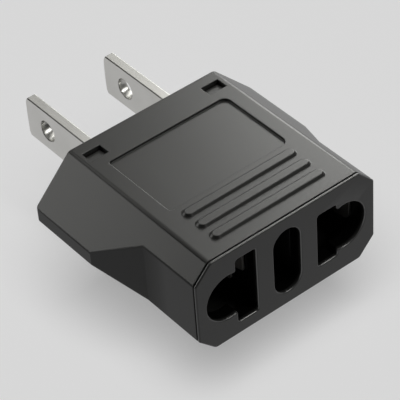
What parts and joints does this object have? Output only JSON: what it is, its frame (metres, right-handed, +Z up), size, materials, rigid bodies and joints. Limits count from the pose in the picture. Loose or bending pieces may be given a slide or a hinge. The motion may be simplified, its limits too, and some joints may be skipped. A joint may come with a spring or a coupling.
{
  "type": "travel plug adapter",
  "caption": "Waisted black plug adapter: flat parallel blades at the back, sockets for round or flat pins and an earth slot at the front, with sprung contacts inside.",
  "frame": {"origin": "on the flat underside, under the middle of the overall length and width", "axes": "+Y towards the blade tips, +Z up from the plain underside to the face with the grip bars, +X across"},
  "size_m": [0.0346, 0.0442, 0.0142],
  "materials": {
    "housing_plastic": "fine satin moulded black",
    "carrier_plastic": "plain moulded black",
    "nickel_plate": "nickel plated, fine satin",
    "contact_strip": "plated spring strip",
    "rivet_metal": "plated, bevelled heads"
  },
  "bodies": {
    "housing": {"body_shell": "housing_plastic", "socket_plate": "housing_plastic", "contact_carrier": "carrier_plastic", "left_blade": "nickel_plate", "left_contact_base": "contact_strip", "left_front_rivet": "rivet_metal", "left_rear_rivet": "rivet_metal", "right_blade": "nickel_plate", "right_contact_base": "contact_strip", "right_front_rivet": "rivet_metal", "right_rear_rivet": "rivet_metal"},
    "left_inner_spring": {"left_inner_leaf": "contact_strip"},
    "left_forked_spring": {"left_forked_leaf": "contact_strip"},
    "left_outer_spring": {"left_outer_leaf": "contact_strip"},
    "right_inner_spring": {"right_inner_leaf": "contact_strip"},
    "right_forked_spring": {"right_forked_leaf": "contact_strip"},
    "right_outer_spring": {"right_outer_leaf": "contact_strip"}
  },
  "joints": [
    {"name": "left_inner_flex", "type": "hinge", "parent": "housing", "child": "left_inner_spring", "pos_m": [-0.00545, -0.004, 0.0069], "axis": [0, 0, 1], "range_deg": [0, 1.5], "stiffness_Nm_per_rad": 0.7},
    {"name": "left_forked_flex", "type": "hinge", "parent": "housing", "child": "left_forked_spring", "pos_m": [-0.00725, -0.004, 0.0069], "axis": [0, 0, -1], "range_deg": [-1.2, 1.2], "stiffness_Nm_per_rad": 0.33},
    {"name": "left_outer_flex", "type": "hinge", "parent": "housing", "child": "left_outer_spring", "pos_m": [-0.0121, -0.004, 0.0069], "axis": [0, 0, -1], "range_deg": [0, 1.2], "stiffness_Nm_per_rad": 0.7},
    {"name": "right_inner_flex", "type": "hinge", "parent": "housing", "child": "right_inner_spring", "pos_m": [0.00545, -0.004, 0.0069], "axis": [0, 0, -1], "range_deg": [0, 1.5], "stiffness_Nm_per_rad": 0.7},
    {"name": "right_forked_flex", "type": "hinge", "parent": "housing", "child": "right_forked_spring", "pos_m": [0.00725, -0.004, 0.0069], "axis": [0, 0, 1], "range_deg": [-1.2, 1.2], "stiffness_Nm_per_rad": 0.33},
    {"name": "right_outer_flex", "type": "hinge", "parent": "housing", "child": "right_outer_spring", "pos_m": [0.0121, -0.004, 0.0069], "axis": [0, 0, 1], "range_deg": [0, 1.2], "stiffness_Nm_per_rad": 0.7}
  ]
}
